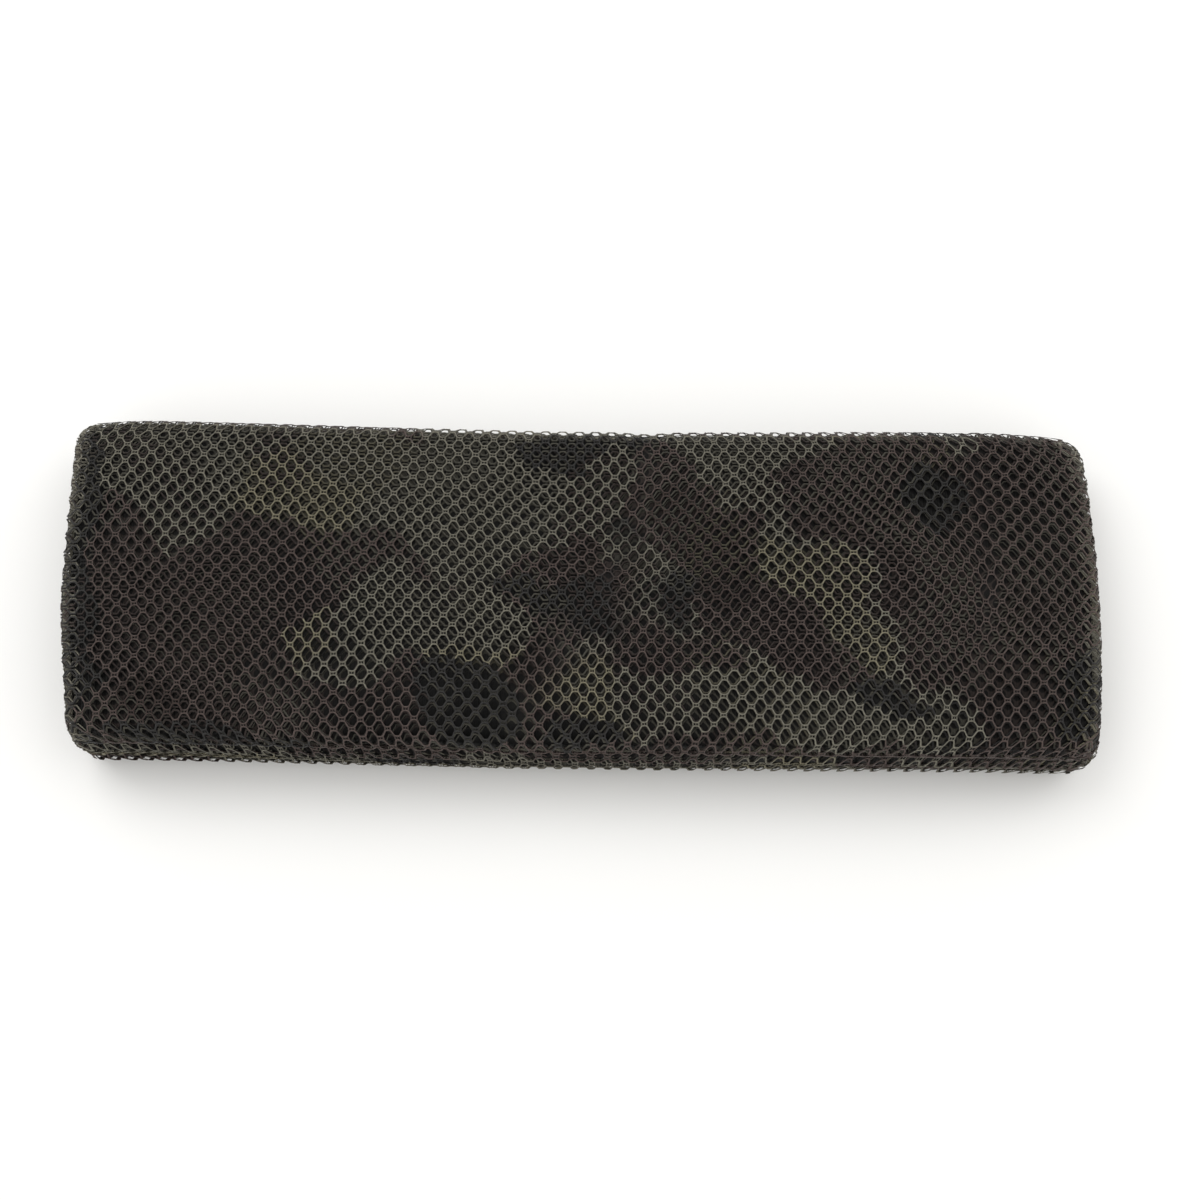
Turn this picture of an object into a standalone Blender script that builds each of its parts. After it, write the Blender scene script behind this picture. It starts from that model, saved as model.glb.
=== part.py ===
"""A camouflage net, folded flat for packing, as one solid.

The real net is one piece of warp-knitted polyester mesh, 1.524 m wide and 2.286 m long, with no
other part sewn to it.  It is first folded back and forth along its length into five plies as long
as the pack.  The strip of five plies is then folded back and forth across its width into ten
layers, and the pack lies flat with the last layer on top.

The solid is that strip: a flat strip is folded into a squared-up pack, given its thickness, and
then pressed into the uneven outline and creases of the real pack.

Metres, +Z up, +X along the pack, the front at -Y.  The origin is the middle of the face it lies on.
"""

from collections import namedtuple
from math import cos, pi, radians, sin

import bpy
import numpy as np

# The squared-up pack.
PACK_LENGTH = 0.457
PACK_WIDTH = 0.153
LAYERS = 10
LAYER_THICKNESS = 0.0043  # five plies of mesh
LAYER_GAP = 0.0008
LAYER_PITCH = LAYER_THICKNESS + LAYER_GAP
PACK_HEIGHT = LAYERS * LAYER_PITCH - LAYER_GAP
FREE_EDGE_IN = 0.0015  # how far the two free long edges lie in from the widest fold
END_ROUNDING = 0.0016  # the plies' own folds round off each layer's ends

# How the strip is divided: across the pack's length, along each layer and round each fold.
COLUMNS = 20
RUN_SHARES = (0.0, 0.07, 0.2, 0.4, 0.6, 0.8, 0.93)
FOLD_STEPS = 5

# Where the columns stand closer together, how wide that stretch is and how many times as close.
Stretch = namedtuple("Stretch", "x width closer")
CLOSER_COLUMNS = (
    Stretch(x=-PACK_LENGTH / 2, width=0.022, closer=2.6),
    Stretch(x=-0.002, width=0.048, closer=2.2),
    Stretch(x=PACK_LENGTH / 2, width=0.026, closer=2.6),
)

# How far each long edge of the pack stands in from the pack's width, from the lowest to the highest:
# near the left end, in the middle and near the right end.
Edge = namedtuple("Edge", "level left middle right")
FRONT_FOLDS = (
    Edge(level=1.0, left=0.0045, middle=0.0025, right=0.0040),
    Edge(level=3.0, left=0.0020, middle=0.0004, right=0.0014),
    Edge(level=5.0, left=0.0032, middle=0.0000, right=0.0022),
    Edge(level=7.0, left=0.0026, middle=0.0012, right=0.0006),
    Edge(level=9.0, left=0.0058, middle=0.0034, right=0.0044),
)
BACK_FOLDS = (
    Edge(level=0.5, left=0.0030, middle=0.0052, right=0.0046),
    Edge(level=2.0, left=0.0008, middle=0.0030, right=0.0016),
    Edge(level=4.0, left=0.0000, middle=0.0036, right=0.0022),
    Edge(level=6.0, left=0.0014, middle=0.0024, right=0.0004),
    Edge(level=8.0, left=0.0018, middle=0.0046, right=0.0020),
    Edge(level=9.5, left=0.0044, middle=0.0078, right=0.0056),
)
EDGE_DEPTH = 0.045  # how far in from a long side the pack feels the shift of its edge

# How far each layer's ends stand in from the pack's length, from the lowest layer up.
Ends = namedtuple("Ends", "left right")
LAYER_ENDS = (
    Ends(left=0.0022, right=0.0030),
    Ends(left=0.0004, right=0.0012),
    Ends(left=0.0026, right=0.0000),
    Ends(left=0.0000, right=0.0024),
    Ends(left=0.0016, right=0.0006),
    Ends(left=0.0008, right=0.0028),
    Ends(left=0.0030, right=0.0010),
    Ends(left=0.0012, right=0.0034),
    Ends(left=0.0024, right=0.0026),
    Ends(left=0.0038, right=0.0056),
)
LEFT_END_SLANT = 0.0070  # the left end's front corner stands in by this much
RIGHT_END_CROWN = 0.0048  # the right end bulges by this much between its corners
CORNER_RADIUS = 0.011  # seen from above

# How much lower the top lies at the rim of the pack, and over what distance it falls.
Fall = namedtuple("Fall", "drop distance")
LEFT_FALL = Fall(drop=0.0050, distance=0.034)
RIGHT_FALL = Fall(drop=0.0085, distance=0.062)
FRONT_FALL = Fall(drop=0.0040, distance=0.026)
BACK_FALL = Fall(drop=0.0036, distance=0.024)

# Creases and swells of the top, each along a straight line from a start to an end.
Crease = namedtuple("Crease", "start_x start_y end_x end_y half_width rise")
CREASES = (
    # the trough that crosses the waist of the pack
    Crease(start_x=0.030, start_y=0.080, end_x=0.016, end_y=0.012, half_width=0.0095, rise=-0.0030),
    Crease(start_x=0.016, start_y=0.012, end_x=-0.040, end_y=-0.080, half_width=0.0105, rise=-0.0034),
    # the trough that marks off the right end
    Crease(start_x=0.176, start_y=0.080, end_x=0.180, end_y=0.000, half_width=0.0080, rise=-0.0016),
    Crease(start_x=0.180, start_y=0.000, end_x=0.166, end_y=-0.080, half_width=0.0080, rise=-0.0022),
    # low ridges between them and towards the left end
    Crease(start_x=0.040, start_y=0.026, end_x=0.150, end_y=-0.040, half_width=0.0140, rise=0.0020),
    Crease(start_x=-0.196, start_y=0.004, end_x=-0.160, end_y=-0.046, half_width=0.0110, rise=0.0014),
    # broad swells where the cloth lies loosest
    Crease(start_x=-0.150, start_y=0.022, end_x=-0.060, end_y=0.006, half_width=0.0340, rise=0.0016),
    Crease(start_x=0.085, start_y=0.030, end_x=0.140, end_y=0.018, half_width=0.0300, rise=0.0014),
    # a slack hollow in front of the swell on the left
    Crease(start_x=-0.130, start_y=-0.050, end_x=-0.080, end_y=-0.034, half_width=0.0160, rise=-0.0014),
)

# The angles between faces that make a rim to round off and an edge to show sharp.
RIM_ANGLE = radians(60)
SHARP_ANGLE = radians(50)

NET_OLIVE = (0.070, 0.074, 0.055, 1.0)
NET_ROUGHNESS = 0.85


def clear_scene():
    for item in list(bpy.data.objects):
        bpy.data.objects.remove(item)


def strip_path():
    """The strip's middle line in the squared-up pack, as (y, z) from its lower free edge to its upper one."""
    fold_radius = LAYER_PITCH / 2
    fold_centre = PACK_WIDTH / 2 - fold_radius - LAYER_THICKNESS / 2
    free_edge = PACK_WIDTH / 2 - FREE_EDGE_IN
    path = []
    for layer in range(LAYERS):
        z = LAYER_THICKNESS / 2 + layer * LAYER_PITCH
        heading = -1 if layer % 2 == 0 else 1
        start = -heading * (free_edge if layer == 0 else fold_centre)
        end = heading * (free_edge if layer == LAYERS - 1 else fold_centre)
        for share in RUN_SHARES:
            path.append((start + (end - start) * share, z))
        if layer == LAYERS - 1:
            path.append((end, z))
            break
        for step in range(FOLD_STEPS):
            angle = pi * step / FOLD_STEPS
            y = heading * (fold_centre + fold_radius * sin(angle))
            path.append((y, z + fold_radius * (1 - cos(angle))))
    return path


def column_places():
    """Where the strip's columns stand along the pack."""
    x = np.linspace(-PACK_LENGTH / 2, PACK_LENGTH / 2, 20 * COLUMNS)
    density = sum((near.closer - 1) * np.exp(-(((x - near.x) / near.width) ** 2)) for near in CLOSER_COLUMNS)
    passed = np.cumsum(1 + density)
    wanted = np.linspace(passed[0], passed[-1], COLUMNS + 1)
    return np.interp(wanted, passed, x)


def folded_strip():
    """A flat grid as long as the pack, folded back and forth along the path and then thickened."""
    path = strip_path()
    rows = len(path) - 1
    columns = column_places()
    bpy.ops.mesh.primitive_grid_add(x_subdivisions=COLUMNS, y_subdivisions=rows, size=1)
    strip = bpy.context.object
    strip.name = strip.data.name = "net"
    for vertex in strip.data.vertices:
        y, z = path[round((vertex.co.y + 0.5) * rows)]
        vertex.co = (columns[round((vertex.co.x + 0.5) * COLUMNS)], y, z)

    thickness = strip.modifiers.new("five plies", "SOLIDIFY")
    thickness.thickness = LAYER_THICKNESS
    thickness.offset = 0
    rounding = strip.modifiers.new("rounded ends", "BEVEL")
    rounding.width = END_ROUNDING
    rounding.segments = 2
    rounding.limit_method = "ANGLE"
    rounding.angle_limit = RIM_ANGLE
    rounding.use_clamp_overlap = False
    for modifier in (thickness, rounding):
        bpy.ops.object.modifier_apply(modifier=modifier.name)
    return strip


def smooth(share):
    """0 below 0, 1 above 1 and an even S curve between."""
    share = np.clip(share, 0, 1)
    return share * share * (3 - 2 * share)


def fall(fall_off, from_rim):
    """How far the top has dropped at a distance in from the rim."""
    return fall_off.drop * (1 - np.clip(from_rim / fall_off.distance, 0, 1)) ** 2


def crease(line, x, y):
    """The rise of one crease: full along its line and gone about two half widths away."""
    along_x, along_y = line.end_x - line.start_x, line.end_y - line.start_y
    share = (x - line.start_x) * along_x + (y - line.start_y) * along_y
    share = np.clip(share / (along_x**2 + along_y**2), 0, 1)
    away = np.hypot(x - line.start_x - share * along_x, y - line.start_y - share * along_y)
    return line.rise * np.exp(-((away / line.half_width) ** 2))


def top_rise(x, y):
    """How far the top of the pack stands above the squared-up pack at (x, y)."""
    rise = sum(crease(line, x, y) for line in CREASES)
    for fall_off, from_rim in (
        (LEFT_FALL, PACK_LENGTH / 2 + x),
        (RIGHT_FALL, PACK_LENGTH / 2 - x),
        (FRONT_FALL, PACK_WIDTH / 2 + y),
        (BACK_FALL, PACK_WIDTH / 2 - y),
    ):
        rise = rise - fall(fall_off, from_rim)
    return rise


def edge_inset(folds, x, z):
    """How far one long side stands in at (x, z): between its folds' own values, and along them."""
    levels = [fold.level * LAYER_PITCH for fold in folds]
    left, middle, right = (
        np.interp(z, levels, [getattr(fold, place) for fold in folds])
        for place in ("left", "middle", "right")
    )
    across = x / (PACK_LENGTH / 2)
    outer = np.where(across < 0, left, right)
    return middle + (outer - middle) * smooth(np.abs(across))


def end_inset(x, y, z):
    """How far the nearer end of the pack stands in at (y, z)."""
    levels = [LAYER_THICKNESS / 2 + layer * LAYER_PITCH for layer in range(LAYERS)]
    left = np.interp(z, levels, [ends.left for ends in LAYER_ENDS])
    right = np.interp(z, levels, [ends.right for ends in LAYER_ENDS])
    across = y / (PACK_WIDTH / 2)
    left = left + LEFT_END_SLANT * smooth(-across)
    right = right + RIGHT_END_CROWN * across**2
    into_corner = np.clip(np.abs(y) - (PACK_WIDTH / 2 - CORNER_RADIUS), 0, CORNER_RADIUS)
    corner = CORNER_RADIUS - np.sqrt(CORNER_RADIUS**2 - into_corner**2)
    return corner + np.where(x < 0, left, right)


def press_into_shape(net):
    """Moves each point of the squared-up pack to its place in the real one."""
    points = np.empty(len(net.data.vertices) * 3)
    net.data.vertices.foreach_get("co", points)
    x, y, z = points.reshape(-1, 3).T
    inset = np.where(y < 0, edge_inset(FRONT_FOLDS, x, z), edge_inset(BACK_FOLDS, x, z))
    near_edge = smooth((np.abs(y) - PACK_WIDTH / 2 + EDGE_DEPTH) / EDGE_DEPTH)
    pressed = np.stack(
        (
            x * (1 - end_inset(x, y, z) / (PACK_LENGTH / 2)),
            y - np.sign(y) * inset * near_edge,
            z * (1 + top_rise(x, y) / PACK_HEIGHT),
        ),
        axis=1,
    )
    pressed[:, :2] -= (pressed[:, :2].max(axis=0) + pressed[:, :2].min(axis=0)) / 2
    net.data.vertices.foreach_set("co", pressed.ravel())
    net.data.update()


def polyester_mesh():
    material = bpy.data.materials.new("knitted polyester mesh")
    material.use_nodes = True
    shader = material.node_tree.nodes["Principled BSDF"]
    shader.inputs["Base Color"].default_value = NET_OLIVE
    shader.inputs["Roughness"].default_value = NET_ROUGHNESS
    shader.inputs["Metallic"].default_value = 0.0
    material.diffuse_color = NET_OLIVE
    return material


def build():
    clear_scene()
    net = folded_strip()
    press_into_shape(net)
    net.data.shade_smooth()
    net.data.set_sharp_from_angle(angle=SHARP_ANGLE)
    net.data.materials.append(polyester_mesh())
    collection = bpy.data.collections.new("folded camouflage net")
    bpy.context.scene.collection.children.link(collection)
    for owner in list(net.users_collection):
        owner.objects.unlink(net)
    collection.objects.link(net)


build()
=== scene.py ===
from collections import namedtuple
from math import atan2, cos, pi, radians, sin, tau

import bpy
import numpy as np
from mathutils import Matrix, Vector


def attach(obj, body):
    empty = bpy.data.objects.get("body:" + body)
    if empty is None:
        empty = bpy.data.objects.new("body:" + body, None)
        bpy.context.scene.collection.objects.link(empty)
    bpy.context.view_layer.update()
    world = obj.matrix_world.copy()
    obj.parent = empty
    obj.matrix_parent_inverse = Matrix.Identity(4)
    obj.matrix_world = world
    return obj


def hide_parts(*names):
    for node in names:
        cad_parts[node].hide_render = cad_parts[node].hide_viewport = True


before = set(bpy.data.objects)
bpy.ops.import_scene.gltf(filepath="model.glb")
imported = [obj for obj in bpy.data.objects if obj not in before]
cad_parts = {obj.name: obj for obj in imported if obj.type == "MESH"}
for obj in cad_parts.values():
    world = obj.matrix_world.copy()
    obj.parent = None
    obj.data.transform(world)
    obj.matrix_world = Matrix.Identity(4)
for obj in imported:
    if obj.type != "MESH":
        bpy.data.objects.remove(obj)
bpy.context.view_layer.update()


# ---- How the net lies ----------------------------------------------------------------------------
# The net is one piece of warp-knitted polyester mesh, 1.524 m wide and 2.286 m long. It is folded
# back and forth along its length into five plies as long as the pack, and that strip is folded back
# and forth across its width into ten layers, which lie pressed flat with the last one on top.

NET_WIDTH = 1.524
NET_LENGTH = 2.286
PLIES = 5
PLY_LENGTH = NET_LENGTH / PLIES
PLY_PITCH = 0.00092
LAYERS = 10
LAYER_THICKNESS = 0.0043
LAYER_PITCH = 0.0051
PACK_LENGTH = 0.457
PACK_WIDTH = 0.153
PACK_HEIGHT = (LAYERS - 1) * LAYER_PITCH + LAYER_THICKNESS
FREE_EDGE_IN = 0.0015

Line = namedtuple("Line", "side height heading distance")
RUN_POINTS = 120
TURN_POINTS = 24


def back_and_forth(rows, pitch, fold_at, free_at, heading):
    """The line of a cloth folded into rows a pitch apart, seen end on, as close points."""
    side, height, headings = [], [], []
    turn = np.linspace(0, pi, TURN_POINTS + 2)[1:-1]
    for row in range(rows):
        way = cos(heading)
        start = -way * (free_at if row == 0 else fold_at)
        end = way * (free_at if row == rows - 1 else fold_at)
        run = np.linspace(start, end, RUN_POINTS)
        side.append(run)
        height.append(np.full_like(run, row * pitch))
        headings.append(np.full_like(run, heading))
        if row < rows - 1:
            side.append(end + way * pitch / 2 * np.sin(turn))
            height.append(row * pitch + pitch / 2 * (1 - np.cos(turn)))
            headings.append(heading + (pi - 2 * heading) * turn / pi)
            heading = pi - heading
    side, height, headings = (np.concatenate(part) for part in (side, height, headings))
    steps = np.hypot(np.diff(side), np.diff(height))
    return Line(side, height, headings, np.concatenate(([0], np.cumsum(steps))))


def plies_line(pitch, length):
    """The plies of the strip, seen from its side, about the strip's middle."""
    run = length - pi * pitch / 2
    line = back_and_forth(PLIES, pitch, run / 2, run / 2 + pi * pitch / 4, heading=0)
    return line._replace(height=line.height - (PLIES - 1) / 2 * pitch)


STRIP = back_and_forth(
    rows=LAYERS,
    pitch=LAYER_PITCH,
    fold_at=(PACK_WIDTH - LAYER_PITCH - LAYER_THICKNESS) / 2,
    free_at=PACK_WIDTH / 2 - FREE_EDGE_IN,
    heading=pi,
)
PLY_LINE = plies_line(PLY_PITCH, PLY_LENGTH)


def ply_height(ply):
    return (ply - (PLIES - 1) / 2) * PLY_PITCH


def across_at(ply):
    """How far across the net each point of the strip's line is, measured along one ply."""
    passed = STRIP.distance - ply_height(ply) * (STRIP.heading - STRIP.heading[0])
    return passed + NET_WIDTH - passed[-1]


def strip_distance(across, height):
    """How far along the strip a point lies, from its place across the net and its ply's height."""
    ply = np.clip(height / PLY_PITCH + (PLIES - 1) / 2, 0, PLIES - 1)
    below = np.minimum(ply.astype(int), PLIES - 2)
    found = np.stack([np.interp(across, across_at(k), STRIP.distance) for k in range(PLIES)])
    at_below = np.take_along_axis(found, below[None], 0)[0]
    at_above = np.take_along_axis(found, below[None] + 1, 0)[0]
    return at_below + (at_above - at_below) * (ply - below)


def smooth(share):
    """A share from 0 to 1 that starts and ends without a corner."""
    share = np.clip(share, 0, 1)
    return share * share * (3 - 2 * share)


# How the pack is pressed out of square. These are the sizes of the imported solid: how far each long
# edge and each layer's ends stand in, how the top falls towards its rim, and where it has creases
# and swells.
Edge = namedtuple("Edge", "level left middle right")
FRONT_FOLDS = (
    Edge(level=1.0, left=0.0045, middle=0.0025, right=0.0040),
    Edge(level=3.0, left=0.0020, middle=0.0004, right=0.0014),
    Edge(level=5.0, left=0.0032, middle=0.0000, right=0.0022),
    Edge(level=7.0, left=0.0026, middle=0.0012, right=0.0006),
    Edge(level=9.0, left=0.0058, middle=0.0034, right=0.0044),
)
BACK_FOLDS = (
    Edge(level=0.5, left=0.0030, middle=0.0052, right=0.0046),
    Edge(level=2.0, left=0.0008, middle=0.0030, right=0.0016),
    Edge(level=4.0, left=0.0000, middle=0.0036, right=0.0022),
    Edge(level=6.0, left=0.0014, middle=0.0024, right=0.0004),
    Edge(level=8.0, left=0.0018, middle=0.0046, right=0.0020),
    Edge(level=9.5, left=0.0044, middle=0.0078, right=0.0056),
)

Ends = namedtuple("Ends", "left right")
LAYER_ENDS = (
    Ends(left=0.0022, right=0.0030),
    Ends(left=0.0004, right=0.0012),
    Ends(left=0.0026, right=0.0000),
    Ends(left=0.0000, right=0.0024),
    Ends(left=0.0016, right=0.0006),
    Ends(left=0.0008, right=0.0028),
    Ends(left=0.0030, right=0.0010),
    Ends(left=0.0012, right=0.0034),
    Ends(left=0.0024, right=0.0026),
    Ends(left=0.0038, right=0.0056),
)
LEFT_END_SLANT = 0.0070
RIGHT_END_CROWN = 0.0048
CORNER_RADIUS = 0.011

Fall = namedtuple("Fall", "drop distance")
LEFT_FALL = Fall(drop=0.0050, distance=0.034)
RIGHT_FALL = Fall(drop=0.0085, distance=0.062)
FRONT_FALL = Fall(drop=0.0040, distance=0.026)
BACK_FALL = Fall(drop=0.0036, distance=0.024)

Crease = namedtuple("Crease", "start_x start_y end_x end_y half_width rise")
CREASES = (
    Crease(start_x=0.030, start_y=0.080, end_x=0.016, end_y=0.012, half_width=0.0095, rise=-0.0030),
    Crease(start_x=0.016, start_y=0.012, end_x=-0.040, end_y=-0.080, half_width=0.0105, rise=-0.0034),
    Crease(start_x=0.176, start_y=0.080, end_x=0.180, end_y=0.000, half_width=0.0080, rise=-0.0016),
    Crease(start_x=0.180, start_y=0.000, end_x=0.166, end_y=-0.080, half_width=0.0080, rise=-0.0022),
    Crease(start_x=0.040, start_y=0.026, end_x=0.150, end_y=-0.040, half_width=0.0140, rise=0.0020),
    Crease(start_x=-0.196, start_y=0.004, end_x=-0.160, end_y=-0.046, half_width=0.0110, rise=0.0014),
    Crease(start_x=-0.150, start_y=0.022, end_x=-0.060, end_y=0.006, half_width=0.0340, rise=0.0016),
    Crease(start_x=0.085, start_y=0.030, end_x=0.140, end_y=0.018, half_width=0.0300, rise=0.0014),
    Crease(start_x=-0.130, start_y=-0.050, end_x=-0.080, end_y=-0.034, half_width=0.0160, rise=-0.0014),
)


def crease_rise(crease, x, y):
    """How far one crease or swell raises the top of the pack, or lowers it if negative."""
    along_x, along_y = crease.end_x - crease.start_x, crease.end_y - crease.start_y
    share = (x - crease.start_x) * along_x + (y - crease.start_y) * along_y
    share = np.clip(share / (along_x**2 + along_y**2), 0, 1)
    away = np.hypot(x - crease.start_x - share * along_x, y - crease.start_y - share * along_y)
    return crease.rise * np.exp(-((away / crease.half_width) ** 2))


def top_rise(x, y):
    """How far all the creases, the swells and the fall to the rim raise the top of the pack."""
    rise = sum(crease_rise(crease, x, y) for crease in CREASES)
    for fall, from_rim in (
        (LEFT_FALL, PACK_LENGTH / 2 + x),
        (RIGHT_FALL, PACK_LENGTH / 2 - x),
        (FRONT_FALL, PACK_WIDTH / 2 + y),
        (BACK_FALL, PACK_WIDTH / 2 - y),
    ):
        rise = rise - fall.drop * (1 - np.clip(from_rim / fall.distance, 0, 1)) ** 2
    return rise


def edge_inset(folds, x, z):
    """How far a long side stands in at a place along it and a height."""
    levels = [fold.level * LAYER_PITCH for fold in folds]
    left, middle, right = (
        np.interp(z, levels, [getattr(fold, place) for fold in folds])
        for place in ("left", "middle", "right")
    )
    outer = np.where(x < 0, left, right)
    return middle + (outer - middle) * smooth(np.abs(x) / (PACK_LENGTH / 2))


def end_inset(x, y, z):
    """How far the nearer end stands in, with its slant or crown and its round corners."""
    levels = [LAYER_THICKNESS / 2 + layer * LAYER_PITCH for layer in range(LAYERS)]
    across = np.clip(y / (PACK_WIDTH / 2), -1, 1)
    left = np.interp(z, levels, [ends.left for ends in LAYER_ENDS])
    right = np.interp(z, levels, [ends.right for ends in LAYER_ENDS])
    left = left + LEFT_END_SLANT * smooth(-across)
    right = right + RIGHT_END_CROWN * across**2
    into_corner = np.clip(np.abs(y) - (PACK_WIDTH / 2 - CORNER_RADIUS), 0, CORNER_RADIUS)
    corner = CORNER_RADIUS - np.sqrt(CORNER_RADIUS**2 - into_corner**2)
    return corner + np.where(x < 0, left, right)


def pressed(x, y, z):
    """The place in the pack of points in the squared-up pack."""
    inset = np.where(y < 0, edge_inset(FRONT_FOLDS, x, z), edge_inset(BACK_FOLDS, x, z))
    return np.stack(
        (
            x * (1 - end_inset(x, y, z) / (PACK_LENGTH / 2)),
            y * (1 - inset / (PACK_WIDTH / 2)),
            z * (1 + top_rise(x, y) / PACK_HEIGHT),
        ),
        axis=1,
    )


def along_strip(x, height, distance):
    """Points of the strip at x, at a height in its thickness and a distance along its line."""
    side, level, heading = (
        np.interp(distance, STRIP.distance, part)
        for part in (STRIP.side, STRIP.height, STRIP.heading)
    )
    y = side - np.sin(heading) * height
    z = LAYER_THICKNESS / 2 + level + np.cos(heading) * height
    return pressed(x, y, z)


# Where the top of the net lies bunched or drawn out, and by how much it is turned there.
Gather = namedtuple("Gather", "x y radius squeeze turn")
TOP_CENTRE = ((PLIES - 0.5) * PLY_LENGTH, NET_WIDTH - PACK_WIDTH / 2)
GATHERS = (
    Gather(x=-0.184, y=-0.004, radius=0.036, squeeze=0.09, turn=6),
    Gather(x=-0.150, y=-0.052, radius=0.030, squeeze=0.06, turn=-4),
    Gather(x=0.026, y=0.004, radius=0.030, squeeze=0.12, turn=-6),
    Gather(x=0.150, y=0.030, radius=0.034, squeeze=0.09, turn=6),
    Gather(x=0.166, y=-0.024, radius=0.032, squeeze=0.10, turn=-5),
    Gather(x=-0.092, y=-0.038, radius=0.024, squeeze=-0.05, turn=3),
    Gather(x=0.020, y=-0.056, radius=0.034, squeeze=0.07, turn=5),
)

# The cloth lies uneven in long waves, and in short ones that move single holes. Each wave has its
# height and its crests to the metre, along and across the net. They fade out at the net's edges.
Wave = namedtuple("Wave", "height along across")
SLIDE_WAVES = (
    Wave(height=0.00090, along=0.75, across=1 / 0.31),
    Wave(height=0.00050, along=0.00, across=1 / 0.083),
    Wave(height=0.00014, along=1 / 0.0091, across=1 / 0.0137),
)
SHIFT_WAVES = (
    Wave(height=0.00080, along=1 / 0.37, across=2.10),
    Wave(height=0.00060, along=1 / 0.151, across=0.00),
    Wave(height=0.00016, along=1 / 0.0163, across=-1 / 0.0106),
)
EVEN_AT_EDGES = 0.020


def waved(waves, along, across):
    """How far these waves together move the cloth at places on the flat net."""
    phases = [tau * (wave.along * along + wave.across * across) for wave in waves]
    return sum(wave.height * np.sin(phase) for wave, phase in zip(waves, phases))


def drift(along, across):
    """How far the cloth has slid along the net and shifted across it from its even place."""
    slide, shift = waved(SLIDE_WAVES, along, across), waved(SHIFT_WAVES, along, across)
    for gather in GATHERS:
        x, y = along - TOP_CENTRE[0] - gather.x, across - TOP_CENTRE[1] - gather.y
        near = np.exp(-(x**2 + y**2) / gather.radius**2)
        turn = radians(gather.turn)
        slide = slide - near * (gather.squeeze * x + turn * y)
        shift = shift - near * (gather.squeeze * y - turn * x)
    slide = slide * smooth(np.minimum(along, NET_LENGTH - along) / EVEN_AT_EDGES)
    shift = shift * smooth(np.minimum(across, NET_WIDTH - across) / EVEN_AT_EDGES)
    return slide, shift


def lie_folded(along, across, lift):
    """Where points of the flat net lie in the pack, lifted a little off the middle of the mesh."""
    slide, shift = drift(along, across)
    x, height, heading = (
        np.interp(along + slide, PLY_LINE.distance, part)
        for part in (PLY_LINE.side, PLY_LINE.height, PLY_LINE.heading)
    )
    x = x - np.sin(heading) * lift
    height = height + np.cos(heading) * lift
    return along_strip(x, height, strip_distance(across + shift, height))


# ---- The mesh ------------------------------------------------------------------------------------
# Each wale is a chain of knitted loops that swings from one neighbour to the other, so that the
# mesh has oval holes about 4.4 by 5.6 mm. One repeat of a wale is modelled, mirrored into a pair and
# arrayed. The warp-knitted polyester is printed in a woodland pattern, with olive as its ground.

REPEATS_A_PLY = 59
WALES = 360
REPEAT = PLY_LENGTH / REPEATS_A_PLY
WALE_PITCH = NET_WIDTH / WALES
SWING = 0.00141
CHAIN_WIDTH = 0.00088
CHAIN_THICKNESS = 0.00056
LINK_THICKNESS = 0.00030
LINK_DEPTH = 0.00014
LINK_LAP = 0.3 * CHAIN_WIDTH
LINK_LENGTH = WALE_PITCH - 2 * SWING + 2 * LINK_LAP

# The crossings that tie two wales together where they meet. Each lies so far off the middle of that
# stretch, along the wales.
Link = namedtuple("Link", "off_middle width")
LINKS = (
    Link(off_middle=-0.00122, width=0.00072),
    Link(off_middle=0.00000, width=0.00040),
    Link(off_middle=0.00122, width=0.00072),
)

# Where a wale bends in one repeat, as shares of the repeat and of the swing. It is rounder where it
# is nearest to the eye, and has fewer bends and no links deeper down.
Bend = namedtuple("Bend", "place swing")
ROUND = (
    Bend(place=0.00, swing=0.92),
    Bend(place=0.12, swing=1.00),
    Bend(place=0.24, swing=0.92),
    Bend(place=0.31, swing=0.58),
    Bend(place=0.43, swing=-0.58),
    Bend(place=0.50, swing=-0.92),
    Bend(place=0.62, swing=-1.00),
    Bend(place=0.74, swing=-0.92),
    Bend(place=0.81, swing=-0.58),
    Bend(place=0.93, swing=0.58),
    Bend(place=1.00, swing=0.92),
)
PLAIN = (
    Bend(place=0.00, swing=0.96),
    Bend(place=0.24, swing=0.96),
    Bend(place=0.50, swing=-0.96),
    Bend(place=0.74, swing=-0.96),
    Bend(place=1.00, swing=0.96),
)
BAR_MIDDLE = ROUND[1].place * REPEAT

Yarn = namedtuple("Yarn", "bends sides linked")
TOP_YARN = Yarn(bends=ROUND, sides=3, linked=True)
SIDE_YARN = Yarn(bends=PLAIN, sides=4, linked=False)
INNER_YARN = Yarn(bends=PLAIN, sides=3, linked=False)
SAME_POINT = 0.00001


def deselect():
    if bpy.context.object:
        bpy.context.view_layer.objects.active = None
    for item in bpy.context.selected_objects:
        item.select_set(False)


def read_points(mesh):
    points = np.empty(len(mesh.vertices) * 3)
    mesh.vertices.foreach_get("co", points)
    return points.reshape(-1, 3)


def write_points(mesh, points):
    mesh.vertices.foreach_set("co", np.ascontiguousarray(points).ravel())
    mesh.update()


def add_array(piece, count, step, merge):
    array = piece.modifiers.new("repeat", "ARRAY")
    array.count = count
    array.use_relative_offset = False
    array.use_constant_offset = True
    array.constant_offset_displace = step
    array.use_merge_vertices = merge
    array.merge_threshold = SAME_POINT


def join(name, pieces):
    """Joins pieces into the first of them, under one name."""
    deselect()
    for piece in pieces:
        piece.select_set(True)
    bpy.context.view_layer.objects.active = pieces[0]
    if len(pieces) > 1:
        bpy.ops.object.join()
    pieces[0].name = pieces[0].data.name = name
    return pieces[0]


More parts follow.
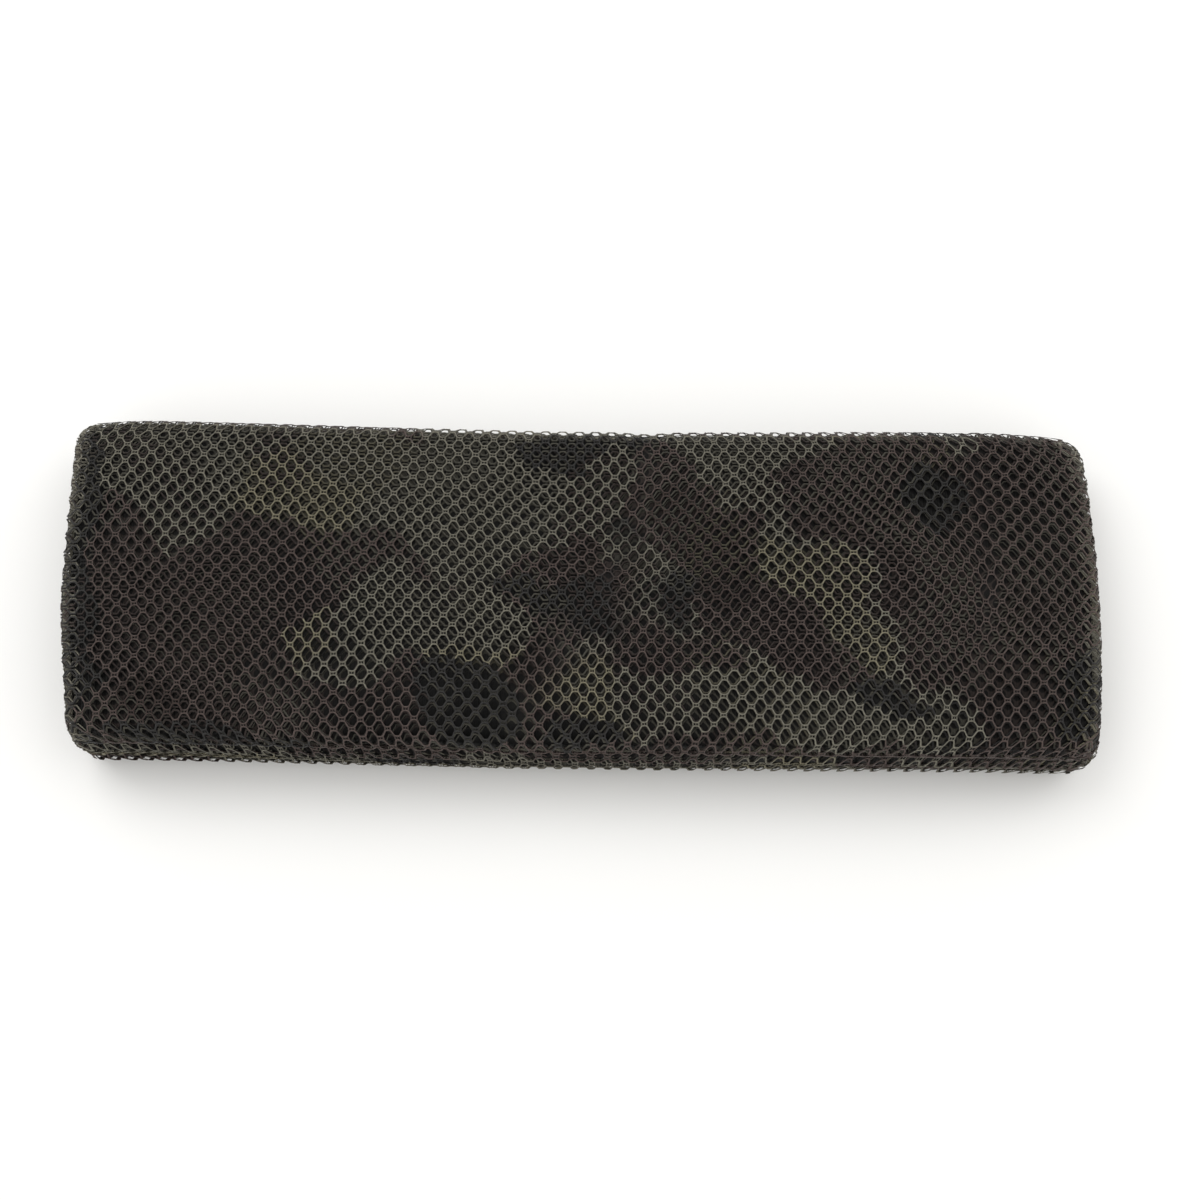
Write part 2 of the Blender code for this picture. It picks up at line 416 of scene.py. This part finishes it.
def bend_slants(bends):
    """The angle across which a wale is cut at each bend, halfway between the runs it joins."""
    runs = [
        atan2(SWING * (after.swing - before.swing), REPEAT * (after.place - before.place))
        for before, after in zip(bends, bends[1:])
    ]
    return [(before + after) / 2 for before, after in zip([runs[-1], *runs], [*runs, runs[0]])]


def knit(name, repeats, pairs, yarn):
    """A flat piece of mesh, that many repeats long and that many pairs of wales wide."""
    deselect()
    bpy.ops.mesh.primitive_cylinder_add(
        vertices=yarn.sides, radius=0.5, depth=1, end_fill_type="NOTHING", rotation=(0, pi / 2, 0)
    )
    piece = bpy.context.object
    bpy.ops.object.transform_apply(location=False, rotation=True, scale=False)
    bpy.context.tool_settings.mesh_select_mode = (False, True, False)
    for edge in piece.data.edges:
        ends = [piece.data.vertices[index].co.x for index in edge.vertices]
        edge.select = abs(ends[0] - ends[1]) > 0.5
    for polygon in piece.data.polygons:
        polygon.select = False
    bpy.ops.object.mode_set(mode="EDIT")
    bpy.ops.mesh.subdivide(number_cuts=len(yarn.bends) - 2)
    bpy.ops.object.mode_set(mode="OBJECT")
    slants = bend_slants(yarn.bends)
    for vertex in piece.data.vertices:
        index = round((vertex.co.x + 0.5) * (len(yarn.bends) - 1))
        bend, slant = yarn.bends[index], slants[index]
        out = -vertex.co.z * CHAIN_WIDTH
        vertex.co = (
            bend.place * REPEAT - out * sin(slant),
            SWING * bend.swing - WALE_PITCH / 2 + out * cos(slant),
            vertex.co.y * CHAIN_THICKNESS,
        )
    mirror = piece.modifiers.new("pair", "MIRROR")
    mirror.use_axis = (False, True, False)
    mirror.use_mirror_merge = False
    bpy.ops.object.modifier_apply(modifier=mirror.name)
    if yarn.linked:
        links = [
            add_link(middle + link.off_middle, across, link.width)
            for middle, across in ((BAR_MIDDLE, 0), (BAR_MIDDLE + REPEAT / 2, WALE_PITCH))
            for link in LINKS
        ]
        piece = join(name, [piece, *links])
    add_array(piece, repeats, (REPEAT, 0, 0), merge=True)
    add_array(piece, pairs, (0, 2 * WALE_PITCH, 0), merge=False)
    for modifier in list(piece.modifiers):
        bpy.ops.object.modifier_apply(modifier=modifier.name)
    return piece


def add_link(along, across, width):
    """One of the three crossings that tie two wales, which leave two small gaps between them."""
    bpy.ops.mesh.primitive_cylinder_add(
        vertices=4, radius=0.5, depth=1, end_fill_type="NOTHING", rotation=(pi / 2, 0, 0)
    )
    link = bpy.context.object
    link.scale = (width, LINK_THICKNESS, LINK_LENGTH)
    link.location = (along, across, -LINK_DEPTH)
    bpy.ops.object.transform_apply(location=True, rotation=True, scale=True)
    link.select_set(False)
    return link


def pair_place(pair):
    """How far across the net a pair of wales lies, counted from the edge that ends on top."""
    return NET_WIDTH - (2 * pair + 1) * WALE_PITCH


def pairs_between(low, high):
    """The first and last pair of wales that lie between two distances across the net."""
    first = np.ceil((NET_WIDTH - high) / (2 * WALE_PITCH) - 0.5)
    last = np.floor((NET_WIDTH - low) / (2 * WALE_PITCH) - 0.5)
    return max(int(first), 0), int(last)


def fold_into_place(piece, along, across):
    """Gives a flat piece of mesh its place in the net, and folds it there."""
    flat = read_points(piece.data) + (along, across, 0)
    corners = np.empty(len(piece.data.loops), int)
    piece.data.loops.foreach_get("vertex_index", corners)
    while piece.data.uv_layers:
        piece.data.uv_layers.remove(piece.data.uv_layers[0])
    layer = piece.data.uv_layers.new(name="flat net")
    layer.data.foreach_set("uv", flat[corners, :2].ravel())
    piece.data.attributes.new("lift", "FLOAT", "POINT").data.foreach_set("value", flat[:, 2])
    write_points(piece.data, lie_folded(*flat.T))
    piece.data.shade_smooth()


def linear(hex_colour):
    """An sRGB colour as linear red, green, blue and alpha."""
    channels = [int(hex_colour[place : place + 2], 16) / 255 for place in (1, 3, 5)]
    return [c / 12.92 if c <= 0.04045 else ((c + 0.055) / 1.055) ** 2.4 for c in channels] + [1]


def add_node(tree, kind, inputs=(), **settings):
    """Adds a node with its settings, and gives each named input a value or a link."""
    node = tree.nodes.new(kind)
    for setting, value in settings.items():
        setattr(node, setting, value)
    for socket, value in dict(inputs).items():
        if isinstance(value, bpy.types.NodeSocket):
            tree.links.new(value, node.inputs[socket])
        else:
            node.inputs[socket].default_value = value
    return node


# The woodland print, with painted shade along the sides of the front folds. Each colour lies over
# the ones before it. Noise places its blotches, and on the top of the pack they are drawn towards the
# places listed here, or kept from them if negative.
Blotch = namedtuple("Blotch", "x y length width turn strength")
OLIVE_PLACES = (
    Blotch(x=-0.110, y=0.048, length=0.150, width=0.032, turn=0, strength=-1.0),
    Blotch(x=-0.036, y=0.034, length=0.076, width=0.054, turn=-8, strength=-1.0),
    Blotch(x=-0.109, y=-0.034, length=0.046, width=0.030, turn=12, strength=-1.0),
    Blotch(x=0.012, y=0.052, length=0.020, width=0.034, turn=0, strength=-1.0),
    Blotch(x=0.064, y=0.054, length=0.050, width=0.022, turn=-32, strength=-1.0),
    Blotch(x=0.094, y=0.012, length=0.054, width=0.030, turn=-14, strength=-1.0),
    Blotch(x=0.118, y=-0.020, length=0.052, width=0.026, turn=-52, strength=-1.0),
    Blotch(x=0.040, y=-0.050, length=0.064, width=0.030, turn=6, strength=-1.0),
    Blotch(x=-0.052, y=-0.022, length=0.044, width=0.034, turn=-10, strength=-1.2),
)
SAND_BLOTCHES = (
    Blotch(x=0.094, y=0.010, length=0.048, width=0.024, turn=-14, strength=1.0),
    Blotch(x=0.118, y=-0.021, length=0.046, width=0.022, turn=-52, strength=1.0),
)
BROWN_BLOTCHES = (
    Blotch(x=-0.207, y=0.016, length=0.034, width=0.044, turn=0, strength=1.0),
    Blotch(x=-0.168, y=-0.020, length=0.066, width=0.056, turn=14, strength=1.0),
    Blotch(x=-0.206, y=-0.044, length=0.036, width=0.060, turn=-6, strength=1.0),
    Blotch(x=-0.188, y=-0.060, length=0.036, width=0.030, turn=0, strength=1.0),
    Blotch(x=-0.146, y=-0.056, length=0.080, width=0.034, turn=-6, strength=1.1),
    Blotch(x=-0.085, y=-0.063, length=0.054, width=0.030, turn=-4, strength=1.0),
    Blotch(x=-0.014, y=0.000, length=0.036, width=0.050, turn=-14, strength=1.0),
    Blotch(x=0.050, y=0.032, length=0.082, width=0.036, turn=-54, strength=1.5),
    Blotch(x=0.072, y=-0.004, length=0.036, width=0.024, turn=-48, strength=1.2),
    Blotch(x=0.103, y=-0.026, length=0.062, width=0.024, turn=-38, strength=1.2),
    Blotch(x=0.114, y=0.044, length=0.046, width=0.036, turn=-10, strength=1.0),
    Blotch(x=0.158, y=0.014, length=0.050, width=0.104, turn=4, strength=1.4),
    Blotch(x=0.204, y=0.000, length=0.060, width=0.140, turn=0, strength=1.2),
    # Painted shade: these two long thin blotches darken the side of the front folds.
    Blotch(x=-0.120, y=-0.086, length=0.210, width=0.024, turn=0, strength=1.0),
    Blotch(x=0.090, y=-0.086, length=0.250, width=0.022, turn=0, strength=0.9),
    *OLIVE_PLACES,
)
DEEP_BROWN_BLOTCHES = (
    Blotch(x=0.053, y=0.024, length=0.062, width=0.028, turn=-54, strength=1.6),
    Blotch(x=-0.188, y=-0.060, length=0.040, width=0.024, turn=0, strength=1.0),
    *OLIVE_PLACES,
)
BLACK_BLOTCHES = (
    Blotch(x=-0.222, y=0.050, length=0.016, width=0.050, turn=0, strength=0.8),
    Blotch(x=-0.224, y=-0.010, length=0.016, width=0.150, turn=0, strength=1.0),
    Blotch(x=-0.014, y=0.068, length=0.034, width=0.020, turn=-4, strength=1.1),
    Blotch(x=-0.048, y=-0.056, length=0.044, width=0.032, turn=-8, strength=1.0),
    Blotch(x=0.156, y=0.042, length=0.032, width=0.030, turn=10, strength=0.9),
    Blotch(x=0.132, y=-0.050, length=0.036, width=0.012, turn=-16, strength=1.0),
    # Painted shade: this long thin blotch darkens the side of the front folds at the left.
    Blotch(x=-0.166, y=-0.078, length=0.080, width=0.014, turn=-4, strength=1.0),
    Blotch(x=-0.002, y=-0.068, length=0.034, width=0.016, turn=10, strength=1.0),
    Blotch(x=0.222, y=-0.046, length=0.018, width=0.044, turn=0, strength=1.0),
    Blotch(x=0.044, y=0.040, length=0.060, width=0.030, turn=-54, strength=-1.0),
    Blotch(x=0.082, y=-0.006, length=0.050, width=0.040, turn=-46, strength=-1.0),
    *OLIVE_PLACES,
)

Ink = namedtuple("Ink", "colour blotches seed threshold")
OLIVE = "#6a675c"
INKS = (
    Ink(colour="#716c5a", blotches=SAND_BLOTCHES, seed=2.3, threshold=0.60),
    Ink(colour="#4b403c", blotches=BROWN_BLOTCHES, seed=5.1, threshold=0.56),
    Ink(colour="#382d29", blotches=DEEP_BROWN_BLOTCHES, seed=3.7, threshold=0.72),
    Ink(colour="#2a2928", blotches=BLACK_BLOTCHES, seed=8.7, threshold=0.64),
)

# Blotches lie about 105 mm apart, with ripples 26 mm long in their edges. Where a place is listed,
# its pull is full over the inner part of the blotch and ends a little outside it.
BLOTCH_SPACING = 0.1053
RIPPLE_SPACING = 0.0263
RIPPLE_REACH = 0.034
PULL_TO_PLACE = 0.5
PULL_IS_FULL = 0.55
PULL_ENDS = 1.45
INK_SPREAD = 0.012

# The dye is uneven over patches of 0.9 mm, about as wide as a chain, and a repeat has six loops.
DYE_PATCH = 0.0009
LOOP_LENGTH = REPEAT / 6
BANDS_AT_SCALE_ONE = tau / 20

# How light the yarn is against its print: where the dye took most and least; as painted shade and
# highlight, low on a chain and on its crown; and, on the inner plies, in the holes drawn as painted
# shade and on the wales drawn between them.
Lightness = namedtuple("Lightness", "low high")
DYE = Lightness(low=0.72, high=1.25)
CHAIN = Lightness(low=0.62, high=1.34)
DRAWN = Lightness(low=0.20, high=3.00)
CHAIN_FOOT = -0.00016
CHAIN_CROWN = CHAIN_THICKNESS / 2
DRAWN_WALE = 0.28
DRAWN_HOLE = 0.50


def printed_in(tree, place, ink):
    """How strongly one colour of the print shows: 1 inside its blotches, 0 outside."""
    field = add_node(
        tree,
        "ShaderNodeTexNoise",
        {"Vector": place, "W": ink.seed, "Scale": 1 / BLOTCH_SPACING, "Detail": 2.0},
        noise_dimensions="4D",
    ).outputs["Fac"]
    for blotch in ink.blotches:
        local = add_node(
            tree,
            "ShaderNodeMapping",
            {
                "Vector": place,
                "Location": (TOP_CENTRE[0] + blotch.x, TOP_CENTRE[1] + blotch.y, 0),
                "Rotation": (0, 0, radians(blotch.turn)),
                "Scale": (blotch.length / 2, blotch.width / 2, 1),
            },
            vector_type="TEXTURE",
        )
        away = add_node(tree, "ShaderNodeVectorMath", {0: local.outputs[0]}, operation="LENGTH")
        inside = add_node(
            tree,
            "ShaderNodeMapRange",
            {
                "Value": away.outputs["Value"],
                "From Min": PULL_IS_FULL,
                "From Max": PULL_ENDS,
                "To Min": PULL_TO_PLACE * blotch.strength,
                "To Max": 0.0,
            },
            interpolation_type="SMOOTHSTEP",
        )
        field = add_node(
            tree, "ShaderNodeMath", {0: field, 1: inside.outputs[0]}, operation="ADD"
        ).outputs[0]
    edge = add_node(
        tree,
        "ShaderNodeMapRange",
        {
            "Value": field,
            "From Min": ink.threshold - INK_SPREAD,
            "From Max": ink.threshold + INK_SPREAD,
        },
    )
    return edge.outputs[0]


def add_drawn_mesh_with_painted_shade(tree, flat):
    """How light a plain sheet is where the mesh's wales and holes are drawn on it: the holes darker, as
    painted shade.
    """
    places = add_node(tree, "ShaderNodeSeparateXYZ", {0: flat})
    waves = []
    for axis, length in (("X", REPEAT), ("Y", 2 * WALE_PITCH)):
        phase = add_node(
            tree, "ShaderNodeMath", {0: places.outputs[axis], 1: tau / length}, operation="MULTIPLY"
        )
        wave = add_node(tree, "ShaderNodeMath", {0: phase.outputs[0]}, operation="COSINE")
        waves.append(wave.outputs[0])
    # The waves cancel out along each wale and add up to either side, in its holes.
    height = add_node(tree, "ShaderNodeMath", dict(enumerate(waves)), operation="ADD")
    hole = add_node(tree, "ShaderNodeMath", {0: height.outputs[0]}, operation="ABSOLUTE")
    return add_node(
        tree,
        "ShaderNodeMapRange",
        {
            "Value": hole.outputs[0],
            "From Min": DRAWN_WALE,
            "From Max": DRAWN_HOLE,
            "To Min": DRAWN.high,
            "To Max": DRAWN.low,
        },
    ).outputs[0]


def knitted_polyester(name, shade, loops, drawn=False):
    """The printed mesh. Shade darkens it and its gloss as painted shade, loops is the height of the
    knit in its bump, and drawn gives a plain sheet the mesh's wales and holes, the holes as painted
    shade."""
    material = bpy.data.materials.new(name)
    material.use_nodes = True
    tree = material.node_tree
    shader = tree.nodes["Principled BSDF"]
    flat = add_node(tree, "ShaderNodeUVMap", uv_map="flat net").outputs[0]

    # The print's edges wander by a few millimetres.
    ripple = add_node(
        tree, "ShaderNodeTexNoise", {"Vector": flat, "Scale": 1 / RIPPLE_SPACING, "Detail": 2.0}
    )
    centred = add_node(
        tree,
        "ShaderNodeVectorMath",
        {0: ripple.outputs["Color"], 1: (0.5, 0.5, 0.5)},
        operation="SUBTRACT",
    )
    wandered = add_node(
        tree,
        "ShaderNodeVectorMath",
        {0: centred.outputs[0], 1: (RIPPLE_REACH, RIPPLE_REACH, 0), 2: flat},
        operation="MULTIPLY_ADD",
    ).outputs[0]

    # Sockets 6 and 7 are the two colours of a mix, and its output 2 is the mixed one.
    colour = linear(OLIVE)
    for ink in INKS:
        colour = add_node(
            tree,
            "ShaderNodeMix",
            {"Factor": printed_in(tree, wandered, ink), 6: colour, 7: linear(ink.colour)},
            data_type="RGBA",
        ).outputs[2]

    # The print takes unevenly, so each chain of loops is lighter in some places than in others.
    uneven = add_node(
        tree, "ShaderNodeTexNoise", {"Vector": flat, "Scale": 1 / DYE_PATCH, "Detail": 2.0}
    )
    dyed = add_node(
        tree,
        "ShaderNodeMapRange",
        {
            "Value": uneven.outputs["Fac"],
            "From Min": 0.3,
            "From Max": 0.7,
            "To Min": DYE.low * shade,
            "To Max": DYE.high * shade,
        },
    )
    # Painted highlight on the crown of each chain, and painted shade on its sides and the links.
    lift = add_node(tree, "ShaderNodeAttribute", attribute_name="lift").outputs["Fac"]
    crown_highlight_and_shade = add_node(
        tree,
        "ShaderNodeMapRange",
        {
            "Value": lift,
            "From Min": CHAIN_FOOT,
            "From Max": CHAIN_CROWN,
            "To Min": CHAIN.low,
            "To Max": CHAIN.high,
        },
    )
    tones = [dyed.outputs[0], crown_highlight_and_shade.outputs[0]]
    if drawn:
        tones.append(add_drawn_mesh_with_painted_shade(tree, flat))
    for tone in tones:
        colour = add_node(
            tree, "ShaderNodeVectorMath", {"Vector": colour, "Scale": tone}, operation="SCALE"
        ).outputs[0]
    tree.links.new(colour, shader.inputs["Base Color"])

    # The loops are drawn at their real length, a sixth of a repeat or 1.3 mm.
    loop = add_node(
        tree,
        "ShaderNodeTexWave",
        {
            "Vector": flat,
            "Scale": BANDS_AT_SCALE_ONE / LOOP_LENGTH,
            "Distortion": 1.5,
            "Detail": 1.0,
        },
        wave_type="BANDS",
        bands_direction="X",
    )
    bump = add_node(
        tree, "ShaderNodeBump", {"Height": loop.outputs["Fac"], "Distance": loops, "Strength": 0.6}
    )
    tree.links.new(bump.outputs[0], shader.inputs["Normal"])

    # Fine polyester filaments, knitted and pressed flat, have a low soft gloss and a faint sheen.
    # Both fall off in the shade too, but less than the colour does.
    gloss = shade**0.25
    shader.inputs["Roughness"].default_value = 0.62
    shader.inputs["IOR"].default_value = 1.57
    shader.inputs["Specular IOR Level"].default_value = 0.2 * gloss
    shader.inputs["Sheen Weight"].default_value = 0.05 * gloss
    shader.inputs["Sheen Roughness"].default_value = 0.4
    return material


LOOP_HEIGHT = 0.00012
KNITTED_MESH = knitted_polyester("knitted polyester mesh", shade=1.0, loops=LOOP_HEIGHT)


def finish_mesh(name, patches, material, yarn):
    """Knits, folds and joins a piece's patches, each as (first pair, last pair, along, repeats)."""
    folded = []
    for first, last, along, repeats in patches:
        patch = knit(name, repeats, last - first + 1, yarn)
        fold_into_place(patch, along, pair_place(last))
        folded.append(patch)
    piece = join(name, folded)
    piece.data.materials.append(material)
    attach(piece, "root")
    return piece


# ---- Top plies -----------------------------------------------------------------------------------
# The three uppermost plies of the top layer, one over the other, so that the lower ones show
# through the holes of the first. They run from the free long edge at the back to the front fold.

LAST_PLY = PLIES - 1
SAME_LEVEL = 0.001


def fold_span(fold):
    """Where a long-side fold starts and ends along the strip."""
    share_up = STRIP.height / LAYER_PITCH - fold
    inside = (share_up > SAME_LEVEL) & (share_up < 1 - SAME_LEVEL)
    return STRIP.distance[inside].min(), STRIP.distance[inside].max()


def across_of(ply, distance):
    """How far across the net one ply is at a distance along the strip."""
    return float(np.interp(distance, STRIP.distance, across_at(ply)))


def plain_run(ply):
    """Where a ply's stretch between the two ends of the pack starts, and how many repeats it has."""
    return ply * PLY_LENGTH + REPEAT, REPEATS_A_PLY - 2


# The lower plies lie in the shade of the first, and their materials are darker for it.
SECOND_PLY_MESH = knitted_polyester(
    "knitted polyester mesh, second ply", shade=0.58, loops=LOOP_HEIGHT
)
THIRD_PLY_MESH = knitted_polyester(
    "knitted polyester mesh, third ply", shade=0.25, loops=LOOP_HEIGHT
)

top_start = np.mean(fold_span(LAYERS - 2))
for ply, title, yarn, material in (
    (LAST_PLY, "net_top", TOP_YARN, KNITTED_MESH),
    (LAST_PLY - 1, "net_second", SIDE_YARN, SECOND_PLY_MESH),
    (LAST_PLY - 2, "net_third", INNER_YARN, THIRD_PLY_MESH),
):
    first, last = pairs_between(across_of(ply, top_start), NET_WIDTH)
    finish_mesh(title, [(first, last, *plain_run(ply))], material, yarn)


# ---- Front folds ---------------------------------------------------------------------------------
# The strip's five folds along the front, where the last ply is outermost and wraps round two more
# that show through its holes.

FOLD_LAP = 0.004

for title, plies, yarn in (
    ("net_front", (LAST_PLY,), TOP_YARN),
    ("net_front_inner", (LAST_PLY - 1, LAST_PLY - 2), INNER_YARN),
):
    patches = []
    for ply in plies:
        for fold in range(0, LAYERS - 1, 2):
            start, end = fold_span(fold)
            middle = np.mean((start, end))
            low = middle if fold == 0 else start - FOLD_LAP
            high = middle if fold == LAYERS - 2 else end + FOLD_LAP
            first, last = pairs_between(across_of(ply, low), across_of(ply, high))
            patches.append((first, last, *plain_run(ply)))
    finish_mesh(title, patches, KNITTED_MESH, yarn)


# ---- Back folds and free edges -------------------------------------------------------------------
# The strip's four folds along the back, with the first ply outermost, and the free edges of the
# first and last layers, where five plies end one over the other. Each ply lies a little further
# along than the one outside it, so that its wales show in that one's holes.

FURTHER_ALONG = (0, REPEAT / 4, REPEAT / 2)
FREE_EDGE_WIDTH = 0.014


def moved_run(ply, further):
    """A ply's plain run moved along by less than a repeat, and shorter by one to fit."""
    start, repeats = plain_run(ply)
    return start + further, repeats if further == 0 else repeats - 1


for title, plies, yarn in (("net_back", (0,), TOP_YARN), ("net_back_inner", (1, 2), INNER_YARN)):
    patches = []
    for ply in plies:
        for fold in range(1, LAYERS - 1, 2):
            start, end = fold_span(fold)
            low, high = across_of(ply, start - FOLD_LAP), across_of(ply, end + FOLD_LAP)
            patches.append((*pairs_between(low, high), *moved_run(ply, FURTHER_ALONG[ply])))
    finish_mesh(title, patches, KNITTED_MESH, yarn)

patches = []
for ply in (0, 1):
    first, last = pairs_between(NET_WIDTH - FREE_EDGE_WIDTH, NET_WIDTH)
    patches.append((first, last, *moved_run(ply, REPEAT / 2)))
for ply in range(LAST_PLY):
    low = across_of(ply, 0)
    first, last = pairs_between(low, low + FREE_EDGE_WIDTH)
    patches.append((first, last, *plain_run(ply)))
finish_mesh("net_free_edges", patches, KNITTED_MESH, INNER_YARN)


# ---- Underside -----------------------------------------------------------------------------------
# The lowest ply of the first layer, which the pack rests on. It runs from the free long edge at the
# back to the lowest front fold.

first, last = pairs_between(across_of(LAST_PLY, 0), across_of(LAST_PLY, np.mean(fold_span(0))))
under = finish_mesh("net_under", [(first, last, *plain_run(LAST_PLY))], KNITTED_MESH, INNER_YARN)


# ---- Ends ----------------------------------------------------------------------------------------
# At each end of the pack all the plies of every layer double back in small loops, two loops and
# one cut edge to a layer.

all_pairs = pairs_between(across_of(PLIES // 2, 0), NET_WIDTH)
for title, loops_at, cut_at in (
    ("net_left_end", (2, 4), 0.0),
    ("net_right_end", (1, 3), NET_LENGTH - REPEAT),
):
    patches = [(*all_pairs, cut_at, 1)]
    for turn in loops_at:
        patches.append((*all_pairs, turn * PLY_LENGTH - REPEAT, 2))
    finish_mesh(title, patches, KNITTED_MESH, SIDE_YARN)


# ---- Inner plies ---------------------------------------------------------------------------------
# The rest of the net, which shows only as dark cloth deep in the holes. It is one thin sheet with
# both foldings, drawn closer together than the plies that show. It lies deep in the top and bottom
# layers, and is brought out towards the plies round each long-side fold.

CORE_PITCH = 0.00030
CORE_LENGTH = 0.449
CORE_BELOW_TOP = 0.00122
CORE_FROM_EDGES = 0.0024
CORE_OUT_IN_FOLDS = (0.0012, 0.0005, 0.0005, 0.0005, 0.0005, 0.0007, 0.0005, 0.0009, -0.00035)
CORE_EASE = 0.008
CORE_COLUMNS = PLIES * 24
CORE_ROWS = 230
CORE_LOOP_HEIGHT = 0.0002
CORE_LINE = plies_line(CORE_PITCH, CORE_LENGTH)

deselect()
bpy.ops.mesh.primitive_grid_add(x_subdivisions=CORE_COLUMNS, y_subdivisions=CORE_ROWS, size=1)
core = bpy.context.object
core.name = core.data.name = "net_core"
share = read_points(core.data)[:, :2] + 0.5
along = share[:, 0] * CORE_LINE.distance[-1]
distance = CORE_FROM_EDGES + share[:, 1] * (STRIP.distance[-1] - 2 * CORE_FROM_EDGES)
x = np.interp(along, CORE_LINE.distance, CORE_LINE.side)
height = np.interp(along, CORE_LINE.distance, CORE_LINE.height)
places = [np.mean(fold_span(fold)) for fold in range(LAYERS - 1)]
places = [places[0] - CORE_EASE, *places, places[-1] + CORE_EASE]
lifts = [out if fold % 2 == 0 else -out for fold, out in enumerate(CORE_OUT_IN_FOLDS)]
lifts = [-CORE_BELOW_TOP, *lifts, -CORE_BELOW_TOP]
write_points(core.data, along_strip(x, height + np.interp(distance, places, lifts), distance))
corners = np.empty(len(core.data.loops), int)
core.data.loops.foreach_get("vertex_index", corners)
layer = core.data.uv_layers[0]
layer.name = "flat net"
flat = np.stack((share[:, 0] * NET_LENGTH, share[:, 1] * NET_WIDTH), axis=1)
layer.data.foreach_set("uv", flat[corners].ravel())
core.data.shade_smooth()
# The sheet's colour is painted shade, at a tenth of the print's lightness.
core.data.materials.append(
    knitted_polyester(
        "knitted polyester in shade", shade=0.10, loops=CORE_LOOP_HEIGHT, drawn=True
    )
)
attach(core, "root")
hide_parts("net")


# ---- Floor, light and camera ---------------------------------------------------------------------
# A pale plain surface under soft light, seen from above and a little from the front. The board is
# painted matt, so that it shows soft shadows and no reflection.

FLOOR_SIZE = 6.0
deselect()
bpy.ops.mesh.primitive_plane_add(size=FLOOR_SIZE)
floor = bpy.context.object
floor.name = floor.data.name = "floor"
pale = bpy.data.materials.new("pale matt board")
pale.use_nodes = True
pale.node_tree.nodes["Principled BSDF"].inputs["Base Color"].default_value = linear("#f5f5f4")
pale.node_tree.nodes["Principled BSDF"].inputs["Roughness"].default_value = 0.9
floor.data.materials.append(pale)

world = bpy.data.worlds.new("soft room")
world.use_nodes = True
world.node_tree.nodes["Background"].inputs["Color"].default_value = linear("#f6f5f3")
world.node_tree.nodes["Background"].inputs["Strength"].default_value = 1.0
bpy.context.scene.world = world

Lamp = namedtuple("Lamp", "name place size power")
for lamp in (
    Lamp(name="key", place=(-0.6, 0.6, 1.3), size=0.9, power=6.6),
    Lamp(name="fill", place=(0.9, 0.3, 1.3), size=1.2, power=3.6),
):
    light = bpy.data.lights.new(lamp.name, "AREA")
    light.size = lamp.size
    light.energy = lamp.power
    holder = bpy.data.objects.new(lamp.name, light)
    holder.location = lamp.place
    holder.rotation_euler = (-Vector(lamp.place)).to_track_quat("-Z", "Y").to_euler()
    bpy.context.scene.collection.objects.link(holder)

# The camera sees a field of this width about a point a few pixels off the middle of the pack.
ELEVATION = radians(76)
DISTANCE = 0.70
FIELD = 0.531
FIELD_PIXELS = 1200
PIXELS_RIGHT = 17
PIXELS_DOWN = 5
ROLL = radians(0.75)

eye = bpy.data.cameras.new("camera")
eye.sensor_width = 36
eye.lens = eye.sensor_width / 2 / (FIELD / 2 / DISTANCE)
eye.clip_start = 0.01
camera = bpy.data.objects.new("camera", eye)
bpy.context.scene.collection.objects.link(camera)
back = Vector((0, -cos(ELEVATION), sin(ELEVATION)))
right = Vector((1, 0, 0))
up = back.cross(right)
turn = Matrix.Rotation(ROLL, 3, back)
right, up = turn @ right, turn @ up
aside = (right * PIXELS_RIGHT - up * PIXELS_DOWN) * FIELD / FIELD_PIXELS
centre = Vector((0, 0, PACK_HEIGHT / 2)) + aside
facing = Matrix((right, up, back)).transposed().to_4x4()
camera.matrix_world = Matrix.Translation(centre + back * DISTANCE) @ facing
bpy.context.scene.camera = camera
bpy.context.scene.view_settings.view_transform = "Standard"
